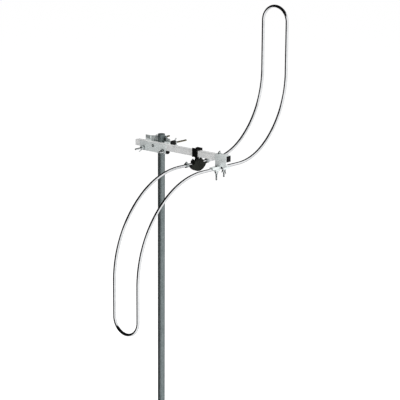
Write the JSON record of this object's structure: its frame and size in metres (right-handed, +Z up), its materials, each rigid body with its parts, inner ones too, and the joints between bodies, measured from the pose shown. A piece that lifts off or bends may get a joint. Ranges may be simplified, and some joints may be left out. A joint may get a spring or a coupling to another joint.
{
  "type": "radio antenna",
  "caption": "S-shaped folded dipole aerial on a short square boom, with a feed box and wing-nut clamps, on a mast.",
  "frame": {"origin": "centre of the mast's lower end", "axes": "+Z up the mast, +X along the boom from the mast towards the dipole, +Y across the boom towards the half of the dipole that bends up"},
  "size_m": [0.4192, 0.7561, 1.5115],
  "materials": {
    "galvanised_steel": "spangled hot-dip galvanised tube, dull, with run marks",
    "aluminium_tube": "bright drawn tube, fine lengthwise polish",
    "aluminium_boom": "mill-finish square extrusion, satin",
    "zinc_plate": "bright zinc plating, bluish grey, pressed plate",
    "zinc_fasteners": "bright zinc plating on bolts, nuts and washers",
    "yellow_zinc": "yellow passivated zinc plating",
    "die_cast_nut": "die-cast wing nut, satin",
    "black_plastic": "black moulding, fine matt grain",
    "housing_plastic": "black-green moulding, matt",
    "lid_plastic": "black-green moulding, slightly glossier face",
    "brass_strap": "plain strip",
    "circuit_board": "green lacquered board",
    "ferrite": "sintered ferrite, dark grey"
  },
  "bodies": {
    "mast_post": {"mast": "galvanised_steel"},
    "jaw": {"clamp_jaw": "zinc_plate", "jaw_sleeves": "black_plastic", "jaw_washers": "yellow_zinc"},
    "jaw_nut_left": {"jaw_wing_nut_left": "yellow_zinc"},
    "jaw_nut_right": {"jaw_wing_nut_right": "yellow_zinc"},
    "bracket_washer_l": {"bracket_washer_left": "zinc_fasteners"},
    "bracket_nut_l": {"bracket_wing_nut_left": "die_cast_nut"},
    "bracket_washer_r": {"bracket_washer_right": "zinc_fasteners"},
    "bracket_nut_r": {"bracket_wing_nut_right": "die_cast_nut"},
    "saddle_near": {"end_saddle_near": "zinc_plate"},
    "saddle_nut_near": {"end_wing_nut_near": "die_cast_nut"},
    "saddle_far": {"end_saddle_far": "zinc_plate"},
    "saddle_nut_far": {"end_wing_nut_far": "die_cast_nut"},
    "top_washer_b": {"top_washer": "zinc_fasteners"},
    "top_nut": {"top_wing_nut": "die_cast_nut"},
    "terminal_washer_l": {"terminal_washer_left": "zinc_fasteners"},
    "terminal_nut_l": {"terminal_nut_left": "zinc_fasteners"},
    "terminal_washer_r": {"terminal_washer_right": "zinc_fasteners"},
    "terminal_nut_r": {"terminal_nut_right": "zinc_fasteners"},
    "lid": {"box_lid": "lid_plastic"},
    "antenna": {"boom": "aluminium_boom", "boom_end_plug": "black_plastic", "clamp_bracket": "zinc_plate", "boom_rivet": "zinc_fasteners", "bracket_spacer": "black_plastic", "clamp_plate": "zinc_plate", "bracket_studs": "zinc_fasteners", "clamp_saddle": "zinc_plate", "clamp_rods": "yellow_zinc", "rod_lock_nuts": "yellow_zinc", "element_upper": "aluminium_tube", "element_lower": "aluminium_tube", "end_bracket": "zinc_plate", "end_trough": "zinc_plate", "end_studs": "zinc_fasteners", "top_bolt": "zinc_fasteners", "box_clip": "black_plastic", "box_housing": "housing_plastic", "lid_pin": "zinc_fasteners", "box_screws": "zinc_fasteners", "terminal_collar_left": "zinc_fasteners", "terminal_collar_right": "zinc_fasteners", "feed_straps": "brass_strap", "balun_board": "circuit_board", "balun_core": "ferrite", "cable_gland": "black_plastic"}
  },
  "joints": [
    {"name": "antenna_turn", "type": "hinge", "parent": "mast_post", "child": "antenna", "pos_m": [0, 0, 1], "axis": [0, 0, 1], "continuous": true},
    {"name": "jaw_slide", "type": "slide", "parent": "antenna", "child": "jaw", "axis": [0, 1, 0], "range_m": [0, 0.05]},
    {"name": "jaw_nut_left_turn", "type": "hinge", "parent": "jaw", "child": "jaw_nut_left", "pos_m": [-0.046, 0.015, 1.0425], "axis": [0, 1, 0], "range_deg": [0, 18001]},
    {"name": "jaw_nut_right_turn", "type": "hinge", "parent": "jaw", "child": "jaw_nut_right", "pos_m": [0.046, 0.015, 1.0425], "axis": [0, 1, 0], "range_deg": [0, 18001]},
    {"name": "bracket_washer_left_slide", "type": "slide", "parent": "antenna", "child": "bracket_washer_l", "axis": [0, -1, 0], "range_m": [0, 0.03]},
    {"name": "bracket_nut_left_turn", "type": "hinge", "parent": "bracket_washer_l", "child": "bracket_nut_l", "pos_m": [-0.046, -0.05, 1.021], "axis": [0, -1, 0], "range_deg": [0, 10801]},
    {"name": "bracket_washer_right_slide", "type": "slide", "parent": "antenna", "child": "bracket_washer_r", "axis": [0, -1, 0], "range_m": [0, 0.008]},
    {"name": "bracket_nut_right_turn", "type": "hinge", "parent": "bracket_washer_r", "child": "bracket_nut_r", "pos_m": [0.046, -0.05, 1.021], "axis": [0, -1, 0], "range_deg": [0, 2881]},
    {"name": "saddle_near_slide", "type": "slide", "parent": "antenna", "child": "saddle_near", "axis": [0, 0, -1], "range_m": [0, 0.02]},
    {"name": "saddle_nut_near_turn", "type": "hinge", "parent": "saddle_near", "child": "saddle_nut_near", "pos_m": [0.296, -0.049, 0.988], "axis": [0, 0, -1], "range_deg": [0, 7201]},
    {"name": "saddle_far_slide", "type": "slide", "parent": "antenna", "child": "saddle_far", "axis": [0, 0, -1], "range_m": [0, 0.02]},
    {"name": "saddle_nut_far_turn", "type": "hinge", "parent": "saddle_far", "child": "saddle_nut_far", "pos_m": [0.296, -0.011, 0.988], "axis": [0, 0, -1], "range_deg": [0, 7201]},
    {"name": "top_washer_slide", "type": "slide", "parent": "antenna", "child": "top_washer_b", "axis": [0, 0, 1], "range_m": [0, 0.004]},
    {"name": "top_nut_turn", "type": "hinge", "parent": "top_washer_b", "child": "top_nut", "pos_m": [0.292, -0.03, 1.051], "axis": [0, 0, 1], "range_deg": [0, 1801]},
    {"name": "terminal_washer_left_slide", "type": "slide", "parent": "antenna", "child": "terminal_washer_l", "axis": [0, 0, 1], "range_m": [0, 0.003]},
    {"name": "terminal_nut_left_turn", "type": "hinge", "parent": "terminal_washer_l", "child": "terminal_nut_l", "pos_m": [0.191, -0.082, 1.01], "axis": [0, 0, 1], "range_deg": [0, 1544]},
    {"name": "terminal_washer_right_slide", "type": "slide", "parent": "antenna", "child": "terminal_washer_r", "axis": [0, 0, 1], "range_m": [0, 0.003]},
    {"name": "terminal_nut_right_turn", "type": "hinge", "parent": "terminal_washer_r", "child": "terminal_nut_r", "pos_m": [0.191, 0.022, 1.01], "axis": [0, 0, 1], "range_deg": [0, 1544]},
    {"name": "lid_open", "type": "hinge", "parent": "antenna", "child": "lid", "pos_m": [0.2002, -0.03, 1.0136], "axis": [0, -1, 0], "range_deg": [0, 95]}
  ],
  "couplings": [
    {"joint": "jaw_nut_left_turn", "follows": "jaw_slide", "rad_per_m": 6283.2},
    {"joint": "jaw_nut_right_turn", "follows": "jaw_slide", "rad_per_m": 6283.2},
    {"joint": "bracket_nut_left_turn", "follows": "bracket_washer_left_slide", "rad_per_m": 6283.2},
    {"joint": "bracket_nut_right_turn", "follows": "bracket_washer_right_slide", "rad_per_m": 6283.2},
    {"joint": "saddle_nut_near_turn", "follows": "saddle_near_slide", "rad_per_m": 6283.2},
    {"joint": "saddle_nut_far_turn", "follows": "saddle_far_slide", "rad_per_m": 6283.2},
    {"joint": "top_nut_turn", "follows": "top_washer_slide", "rad_per_m": 7854},
    {"joint": "terminal_nut_left_turn", "follows": "terminal_washer_left_slide", "rad_per_m": 8976},
    {"joint": "terminal_nut_right_turn", "follows": "terminal_washer_right_slide", "rad_per_m": 8976}
  ]
}
